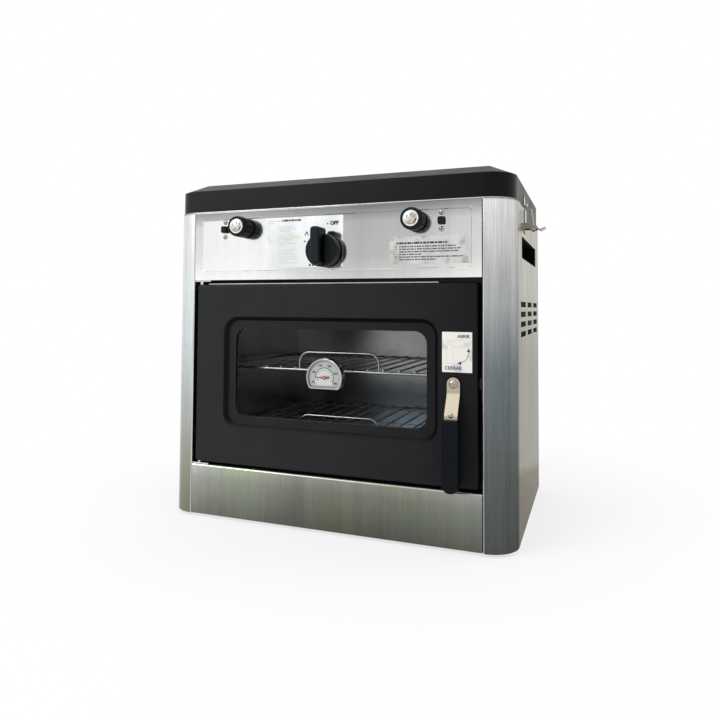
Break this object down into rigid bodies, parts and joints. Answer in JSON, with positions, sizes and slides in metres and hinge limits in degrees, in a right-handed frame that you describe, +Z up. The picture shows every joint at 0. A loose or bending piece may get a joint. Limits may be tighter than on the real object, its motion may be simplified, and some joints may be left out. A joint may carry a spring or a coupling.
{
  "type": "gas stove with oven",
  "caption": "Camping gas hob with hinged lid, burners, pan support and side latches over a small glazed oven with racks, thermometer door and turning handle.",
  "frame": {"origin": "middle of the whole object's footprint, on the surface that its feet stand on", "axes": "+X to the right seen from the door, +Y from the door to the back, +Z up"},
  "size_m": [0.5456, 0.383, 0.477],
  "materials": {
    "rubber": "matte",
    "stainless": "brushed",
    "liner_steel": "satin",
    "lid_paint": "satin",
    "door_paint": "satin",
    "black_plastic": "satin",
    "grip_plastic": "satin",
    "white_plastic": "matte",
    "glass": "clear",
    "gasket": "matte",
    "chrome": "polished",
    "dial": "matte",
    "pointer": "satin",
    "brass": "satin",
    "aluminium": "cast",
    "enamel": "satin",
    "steel": "satin"
  },
  "bodies": {
    "casing": {"base_pan": "stainless", "rubber_feet": "rubber", "side_panel_left": "stainless", "side_panel_right": "stainless", "hand_hold_cups": "black_plastic", "control_panel": "stainless", "lower_front_panel": "stainless", "rear_panel": "stainless", "cooktop_tray": "stainless", "burner_bases": "aluminium", "burner_caps": "enamel", "pan_support": "enamel", "lid_hinge_body_leaves": "steel", "oven_liner": "liner_steel", "oven_floor_plate": "liner_steel", "oven_burner": "steel", "rack_runners": "steel", "door_hinge_brackets": "steel", "door_keeper": "steel", "burner_valves": "brass", "oven_valve": "brass", "igniter_bodies": "white_plastic", "panel_screws": "steel", "gas_manifold": "brass", "gas_inlet": "brass", "oven_pipe": "aluminium", "latch_bases": "steel", "electrodes": "white_plastic", "thermocouple": "brass"},
    "lid": {"lid_shell": "lid_paint", "lid_hinge_leaves": "steel", "latch_strikes": "steel"},
    "door": {"door_outer": "door_paint", "door_inner": "stainless", "door_glass": "glass", "door_gasket": "gasket", "thermometer_case": "chrome", "thermometer_dial": "dial"},
    "door_handle": {"handle_arm": "steel", "handle_grip": "grip_plastic", "handle_fasteners": "steel", "latch_tongue": "steel"},
    "thermometer_needle": {"thermometer_pointer": "pointer"},
    "upper_rack": {"rack_upper": "chrome"},
    "lower_rack": {"rack_lower": "chrome"},
    "valve_plug_left": {"valve_plug_left": "brass"},
    "knob_left": {"knob_left": "black_plastic", "spindle_left": "brass"},
    "valve_plug_right": {"valve_plug_right": "brass"},
    "knob_right": {"knob_right": "black_plastic", "spindle_right": "brass"},
    "valve_plug_oven": {"valve_plug_oven": "brass"},
    "knob_oven": {"knob_oven": "black_plastic", "spindle_oven": "brass"},
    "igniter_button_left": {"igniter_button_left": "black_plastic"},
    "latch_lever_left": {"latch_lever_left": "steel"},
    "latch_bail_left": {"latch_bail_left": "steel"},
    "igniter_button_right": {"igniter_button_right": "black_plastic"},
    "latch_lever_right": {"latch_lever_right": "steel"},
    "latch_bail_right": {"latch_bail_right": "steel"}
  },
  "joints": [
    {"name": "lid_hinge", "type": "hinge", "parent": "casing", "child": "lid", "pos_m": [0, 0.1741, 0.4362], "axis": [-1, 0, 0], "range_deg": [0, 100]},
    {"name": "door_hinge", "type": "hinge", "parent": "casing", "child": "door", "pos_m": [-0.198, -0.1455, 0.20225], "axis": [0, 0, -1], "range_deg": [0, 110]},
    {"name": "handle_turn", "type": "hinge", "parent": "door", "child": "door_handle", "pos_m": [0.1712, -0.15, 0.2035], "axis": [0, -1, 0], "range_deg": [0, 90]},
    {"name": "needle_turn", "type": "hinge", "parent": "door", "child": "thermometer_needle", "pos_m": [-0.00165, -0.152, 0.20325], "axis": [0, 1, 0], "range_deg": [-40, 220]},
    {"name": "upper_rack_slide", "type": "slide", "parent": "casing", "child": "upper_rack", "axis": [0, -1, 0], "range_m": [0, 0.018]},
    {"name": "lower_rack_slide", "type": "slide", "parent": "casing", "child": "lower_rack", "axis": [0, -1, 0], "range_m": [0, 0.018]},
    {"name": "knob_left_turn", "type": "hinge", "parent": "casing", "child": "valve_plug_left", "pos_m": [-0.123, -0.126, 0.406], "axis": [0, -1, 0], "range_deg": [0, 180]},
    {"name": "knob_left_push", "type": "slide", "parent": "valve_plug_left", "child": "knob_left", "axis": [0, 1, 0], "range_m": [0, 0.003], "stiffness_N_per_m": 1500, "springref_m": -0.002},
    {"name": "knob_right_turn", "type": "hinge", "parent": "casing", "child": "valve_plug_right", "pos_m": [0.123, -0.126, 0.406], "axis": [0, -1, 0], "range_deg": [0, 180]},
    {"name": "knob_right_push", "type": "slide", "parent": "valve_plug_right", "child": "knob_right", "axis": [0, 1, 0], "range_m": [0, 0.003], "stiffness_N_per_m": 1500, "springref_m": -0.002},
    {"name": "knob_oven_turn", "type": "hinge", "parent": "casing", "child": "valve_plug_oven", "pos_m": [0, -0.126, 0.371], "axis": [0, -1, 0], "range_deg": [0, 180]},
    {"name": "knob_oven_push", "type": "slide", "parent": "valve_plug_oven", "child": "knob_oven", "axis": [0, 1, 0], "range_m": [0, 0.003], "stiffness_N_per_m": 1500, "springref_m": -0.002},
    {"name": "igniter_left_press", "type": "slide", "parent": "casing", "child": "igniter_button_left", "axis": [0, 1, 0], "range_m": [0, 0.004], "stiffness_N_per_m": 900, "springref_m": -0.002},
    {"name": "latch_left_lever", "type": "hinge", "parent": "casing", "child": "latch_lever_left", "pos_m": [-0.2506, -0.0375, 0.408], "axis": [0, -1, 0], "range_deg": [0, 56]},
    {"name": "latch_left_bail", "type": "hinge", "parent": "latch_lever_left", "child": "latch_bail_left", "pos_m": [-0.25723, -0.0375, 0.40353], "axis": [0, -1, 0], "range_deg": [-3, 24]},
    {"name": "igniter_right_press", "type": "slide", "parent": "casing", "child": "igniter_button_right", "axis": [0, 1, 0], "range_m": [0, 0.004], "stiffness_N_per_m": 900, "springref_m": -0.002},
    {"name": "latch_right_lever", "type": "hinge", "parent": "casing", "child": "latch_lever_right", "pos_m": [0.2506, -0.0375, 0.408], "axis": [0, 1, 0], "range_deg": [0, 56]},
    {"name": "latch_right_bail", "type": "hinge", "parent": "latch_lever_right", "child": "latch_bail_right", "pos_m": [0.25723, -0.0375, 0.40353], "axis": [0, 1, 0], "range_deg": [-3, 24]}
  ]
}
